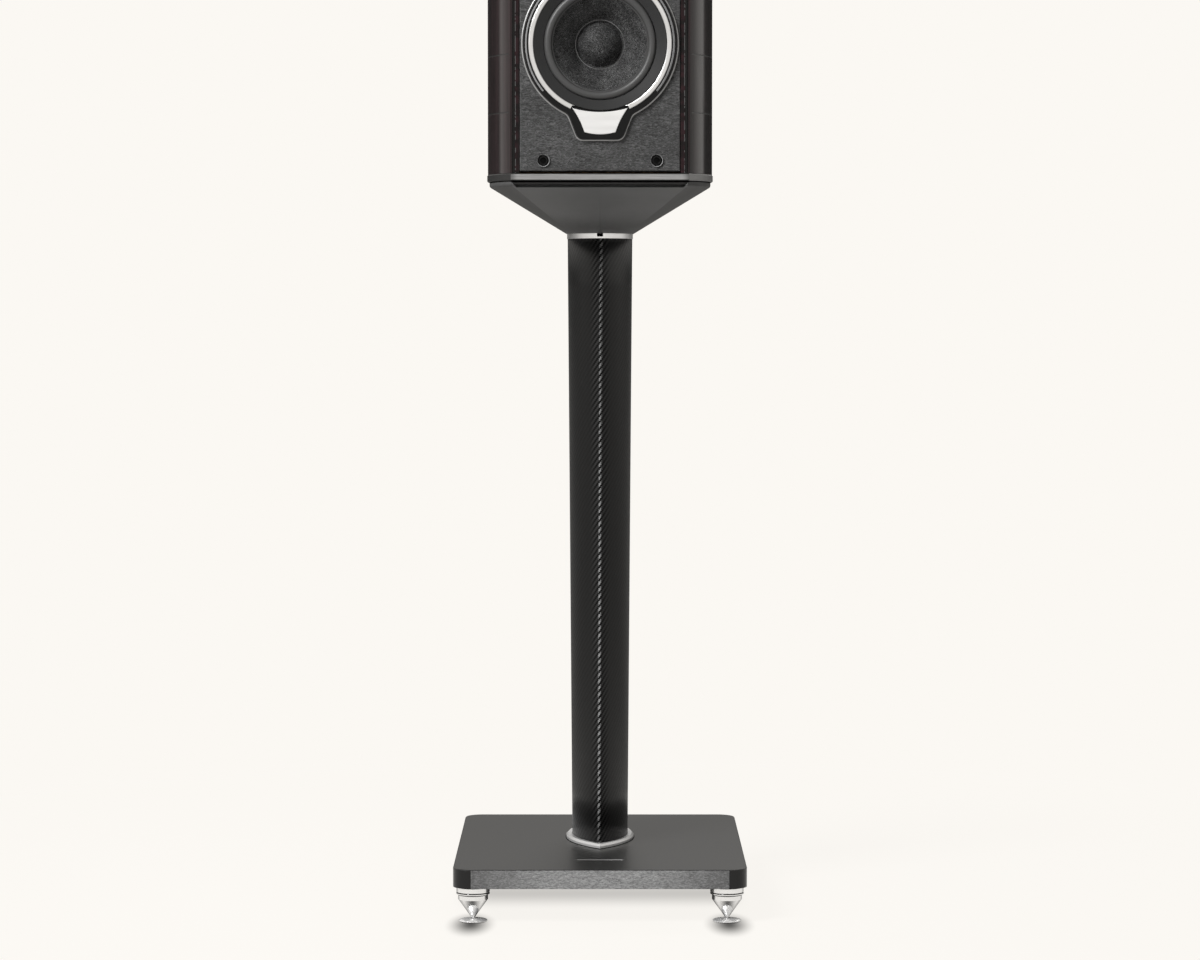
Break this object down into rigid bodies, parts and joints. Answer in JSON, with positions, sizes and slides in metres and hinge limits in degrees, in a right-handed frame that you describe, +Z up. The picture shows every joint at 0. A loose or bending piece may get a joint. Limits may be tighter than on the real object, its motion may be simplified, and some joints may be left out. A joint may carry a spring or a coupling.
{
  "type": "bookshelf speaker",
  "caption": "Two-way stand-mount loudspeaker with bowed wooden sides and a leather baffle, on its own carbon column stand with spiked feet.",
  "frame": {"origin": "on the floor, under the middle of the base plate", "axes": "+Z up, -Y out of the baffle (the front), +X to the right as seen from the front"},
  "size_m": [0.313, 0.403, 1.1622],
  "materials": {
    "base_black": "satin black anodised plate, brushed edges",
    "chrome": "polished",
    "steel": "plain machined",
    "carbon": "lacquered twill carbon",
    "neck_grey": "satin graphite paint",
    "plate_metal": "satin dark anodised",
    "baffle_leather": "black grained leather",
    "cabinet_wood": "dark lacquered veneer",
    "strip_wood": "dark figured wood, lacquered",
    "inlay": "thin dark line",
    "inner_wood": "raw fibreboard",
    "wadding": "soft fibre",
    "trim_black": "satin black",
    "bright_ring": "fine brushed silver",
    "cone_paper": "pulp with long fibres",
    "rubber": "satin rubber",
    "cast_basket": "cast, painted",
    "magnet_steel": "plated",
    "copper": "enamelled copper wire",
    "spider_cloth": "impregnated cloth",
    "silk": "coated silk",
    "port_plastic": "satin black",
    "terminal_metal": "gold-plated",
    "circuit": "circuit board",
    "capacitor_film": "film capacitor"
  },
  "bodies": {
    "speaker_and_stand": {"base_plate": "base_black", "floor_discs": "chrome", "spike_inserts": "steel", "base_bolts": "steel", "column_foot_ring": "chrome", "column_tube": "carbon", "column_lower_block": "plate_metal", "column_upper_block": "plate_metal", "column_head_ring": "chrome", "column_tie_rod": "steel", "stand_neck": "neck_grey", "neck_front_strip": "plate_metal", "cabinet_studs": "steel", "cabinet_bottom_plate": "plate_metal", "cabinet_top_plate": "plate_metal", "cabinet_floor_board": "inner_wood", "cabinet_brace": "inner_wood", "front_baffle": "baffle_leather", "grille_sockets": "trim_black", "corner_strip_left": "strip_wood", "corner_strip_right": "strip_wood", "side_wall_left": "cabinet_wood", "side_wall_right": "cabinet_wood", "wall_inlays": "inlay", "rear_spine": "cabinet_wood", "wall_wadding": "wadding", "woofer_trim": "trim_black", "woofer_bright_ring": "bright_ring", "woofer_label_plate": "bright_ring", "woofer_basket": "cast_basket", "woofer_magnet": "magnet_steel", "woofer_surround": "rubber", "woofer_spider": "spider_cloth", "tweeter_trim": "trim_black", "tweeter_bright_ring": "bright_ring", "tweeter_faceplate": "trim_black", "tweeter_magnet": "magnet_steel", "port_tube": "port_plastic", "terminal_plate": "plate_metal", "terminal_posts": "terminal_metal", "crossover_board": "circuit", "crossover_coils": "copper", "crossover_capacitors": "capacitor_film"},
    "woofer_moving": {"woofer_cone": "cone_paper", "woofer_dust_dome": "cone_paper", "woofer_voice_coil": "copper"},
    "tweeter_moving": {"tweeter_dome": "silk", "tweeter_voice_coil": "copper"},
    "foot_front_left": {"spike_front_left": "chrome", "lock_ring_front_left": "chrome"},
    "foot_rear_left": {"spike_rear_left": "chrome", "lock_ring_rear_left": "chrome"},
    "foot_front_right": {"spike_front_right": "chrome", "lock_ring_front_right": "chrome"},
    "foot_rear_right": {"spike_rear_right": "chrome", "lock_ring_rear_right": "chrome"},
    "terminal_nut_lower_left": {"terminal_nut_lower_left": "terminal_metal"},
    "terminal_nut_upper_left": {"terminal_nut_upper_left": "terminal_metal"},
    "terminal_nut_lower_right": {"terminal_nut_lower_right": "terminal_metal"},
    "terminal_nut_upper_right": {"terminal_nut_upper_right": "terminal_metal"}
  },
  "joints": [
    {"name": "woofer_cone_slide", "type": "slide", "parent": "speaker_and_stand", "child": "woofer_moving", "axis": [0, -1, 0], "range_m": [-0.005, 0.005], "stiffness_N_per_m": 1200, "deforming": ["woofer_surround", "woofer_spider"]},
    {"name": "tweeter_dome_slide", "type": "slide", "parent": "speaker_and_stand", "child": "tweeter_moving", "axis": [0, -1, 0], "range_m": [-0.0003, 0.0003], "stiffness_N_per_m": 700},
    {"name": "spike_front_left_turn", "type": "hinge", "parent": "speaker_and_stand", "child": "foot_front_left", "pos_m": [-0.1352, -0.183, 0.04], "axis": [0, 0, -1], "range_deg": [0, 1170]},
    {"name": "spike_rear_left_turn", "type": "hinge", "parent": "speaker_and_stand", "child": "foot_rear_left", "pos_m": [-0.1352, 0.183, 0.04], "axis": [0, 0, -1], "range_deg": [0, 1170]},
    {"name": "spike_front_right_turn", "type": "hinge", "parent": "speaker_and_stand", "child": "foot_front_right", "pos_m": [0.1352, -0.183, 0.04], "axis": [0, 0, -1], "range_deg": [0, 1170]},
    {"name": "spike_rear_right_turn", "type": "hinge", "parent": "speaker_and_stand", "child": "foot_rear_right", "pos_m": [0.1352, 0.183, 0.04], "axis": [0, 0, -1], "range_deg": [0, 1170]},
    {"name": "terminal_nut_lower_left_turn", "type": "hinge", "parent": "speaker_and_stand", "child": "terminal_nut_lower_left", "pos_m": [-0.018, 0.17, 0.858], "axis": [0, -1, 0], "range_deg": [0, 1350]},
    {"name": "terminal_nut_upper_left_turn", "type": "hinge", "parent": "speaker_and_stand", "child": "terminal_nut_upper_left", "pos_m": [-0.018, 0.17, 0.902], "axis": [0, -1, 0], "range_deg": [0, 1350]},
    {"name": "terminal_nut_lower_right_turn", "type": "hinge", "parent": "speaker_and_stand", "child": "terminal_nut_lower_right", "pos_m": [0.018, 0.17, 0.858], "axis": [0, -1, 0], "range_deg": [0, 1350]},
    {"name": "terminal_nut_upper_right_turn", "type": "hinge", "parent": "speaker_and_stand", "child": "terminal_nut_upper_right", "pos_m": [0.018, 0.17, 0.902], "axis": [0, -1, 0], "range_deg": [0, 1350]}
  ]
}
